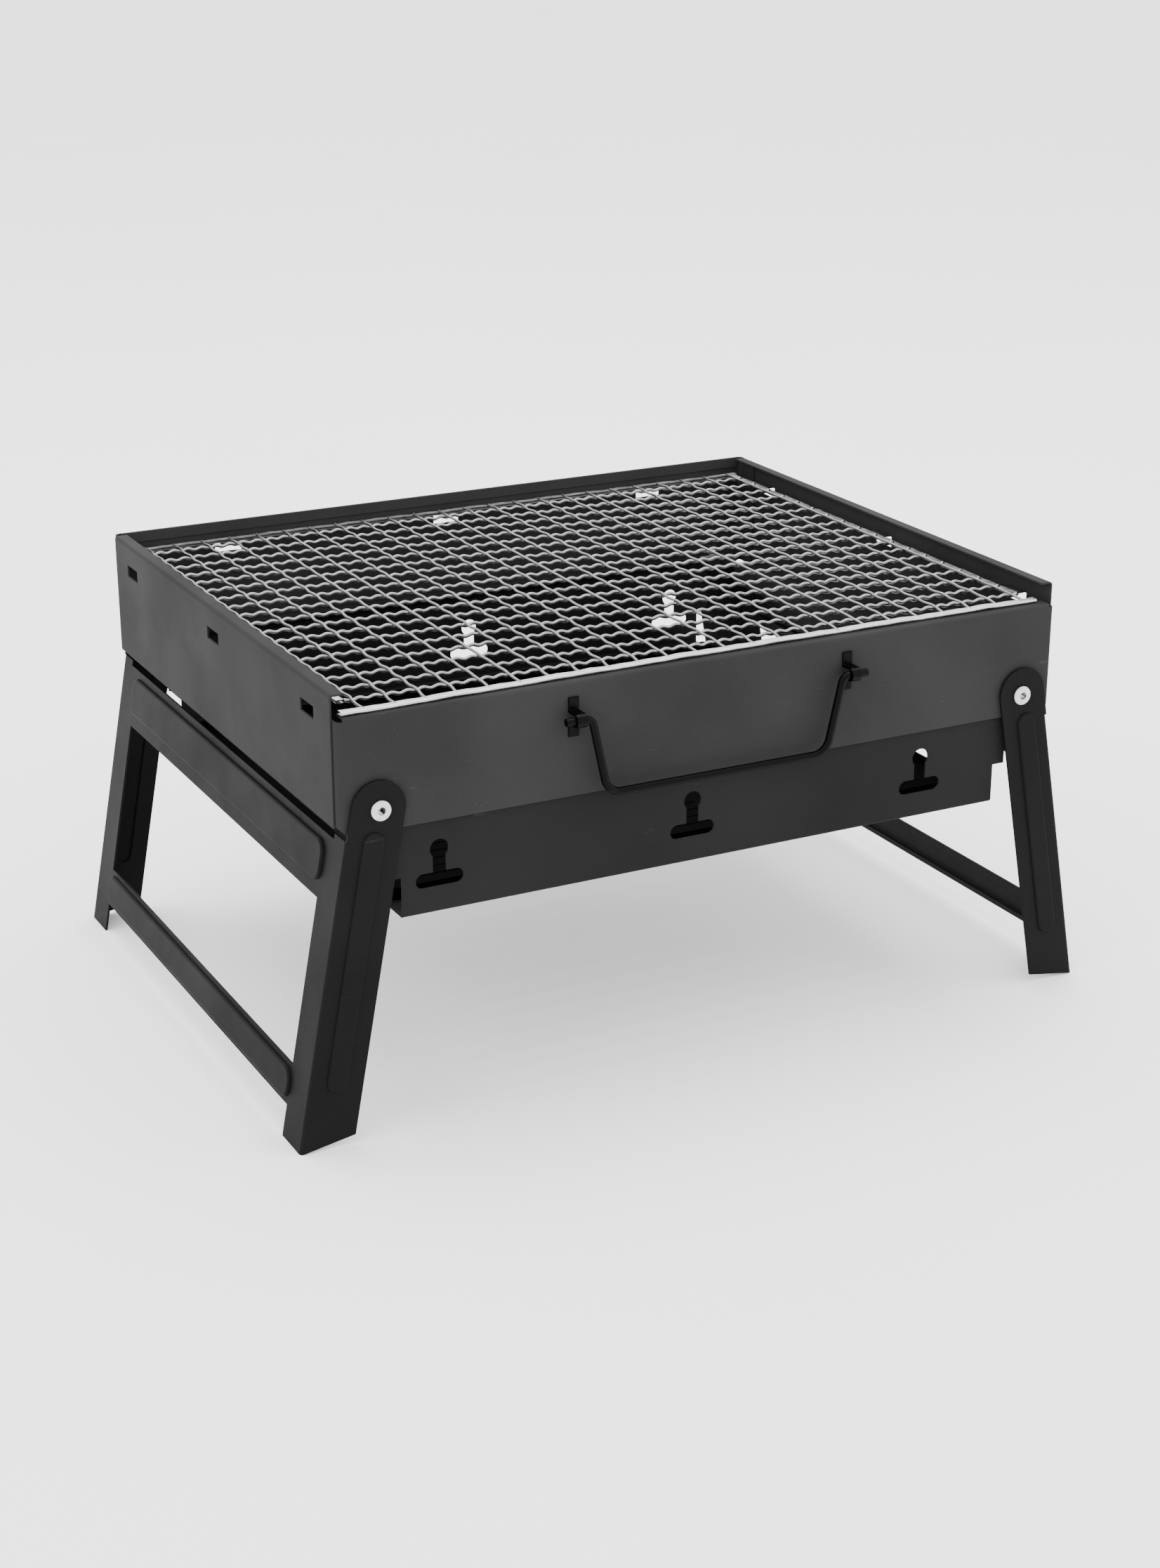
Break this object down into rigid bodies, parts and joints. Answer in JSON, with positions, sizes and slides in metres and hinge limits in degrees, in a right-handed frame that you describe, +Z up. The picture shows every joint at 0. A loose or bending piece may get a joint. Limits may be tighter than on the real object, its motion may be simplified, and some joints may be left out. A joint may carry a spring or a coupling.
{
  "type": "folding camp grill",
  "caption": "Table-top charcoal grill: sheet-steel firebox on folding H-frame legs, hinged vented lower walls, slotted charcoal tray, lift-off woven net and wire carrying handle.",
  "frame": {"origin": "on the floor, at the centre of the bounding box: midway between the two leg frames along X and midway along Y between the handle clip at the front and the rivet heads at the back", "axes": "+X along the long side, to the right as seen from the front; +Y from the front, with the handle, to the back; +Z up"},
  "size_m": [0.3942, 0.2896, 0.195],
  "materials": {
    "body_paint": "satin black heat-resistant paint on thin sheet steel",
    "leg_paint": "satin black paint with light wear along the pressed edges",
    "flap_paint": "satin black heat-resistant paint",
    "tray_paint": "dull black paint",
    "rivet_zinc": "bright zinc-plated tubular rivet",
    "rod_steel": "plain drawn steel wire",
    "net_rim_zinc": "bright plated folded strip",
    "net_wire_zinc": "bright plated crimped wire",
    "handle_black": "black painted wire"
  },
  "bodies": {
    "body": {"front_panel": "body_paint", "back_panel": "body_paint", "left_side_panel": "body_paint", "right_side_panel": "body_paint", "leg_rivets": "rivet_zinc", "leg_washers": "rivet_zinc", "front_hinge_rod": "rod_steel", "back_hinge_rod": "rod_steel", "hinge_bracket_front_left": "body_paint", "hinge_bracket_front_right": "body_paint", "hinge_bracket_back_left": "body_paint", "hinge_bracket_back_right": "body_paint", "handle_clip_left": "handle_black", "handle_clip_right": "handle_black"},
    "left_leg": {"left_leg_frame": "leg_paint"},
    "right_leg": {"right_leg_frame": "leg_paint"},
    "front_flap": {"front_flap": "flap_paint"},
    "back_flap": {"back_flap": "flap_paint"},
    "tray": {"charcoal_tray": "tray_paint"},
    "net": {"net_rim": "net_rim_zinc", "net_long_wires": "net_wire_zinc", "net_cross_wires": "net_wire_zinc"},
    "handle": {"handle": "handle_black"}
  },
  "joints": [
    {"name": "left_leg_fold", "type": "hinge", "parent": "body", "child": "left_leg", "pos_m": [-0.157, 0.003, 0.1457], "axis": [0, -1, 0], "range_deg": [0, 100.6]},
    {"name": "right_leg_fold", "type": "hinge", "parent": "body", "child": "right_leg", "pos_m": [0.157, 0.003, 0.1457], "axis": [0, 1, 0], "range_deg": [0, 100.6]},
    {"name": "front_flap_fold", "type": "hinge", "parent": "body", "child": "front_flap", "pos_m": [0, -0.13122, 0.1425], "axis": [1, 0, 0], "range_deg": [0, 116]},
    {"name": "back_flap_fold", "type": "hinge", "parent": "body", "child": "back_flap", "pos_m": [0, 0.13722, 0.1425], "axis": [-1, 0, 0], "range_deg": [0, 116]},
    {"name": "tray_stow", "type": "slide", "parent": "body", "child": "tray", "axis": [0, 0, 1], "range_m": [0, 0.0844]},
    {"name": "net_lift", "type": "slide", "parent": "body", "child": "net", "axis": [0, 0, 1], "range_m": [0, 0.1]},
    {"name": "handle_swing", "type": "hinge", "parent": "body", "child": "handle", "pos_m": [0, -0.1418, 0.171], "axis": [-1, 0, 0], "range_deg": [0, 175]}
  ],
  "couplings": [
    {"joint": "right_leg_fold", "follows": "left_leg_fold", "ratio": 1},
    {"joint": "front_flap_fold", "follows": "left_leg_fold", "ratio": 1.1531},
    {"joint": "back_flap_fold", "follows": "left_leg_fold", "ratio": 1.1531},
    {"joint": "tray_stow", "follows": "left_leg_fold", "m_per_rad": 0.048068}
  ]
}
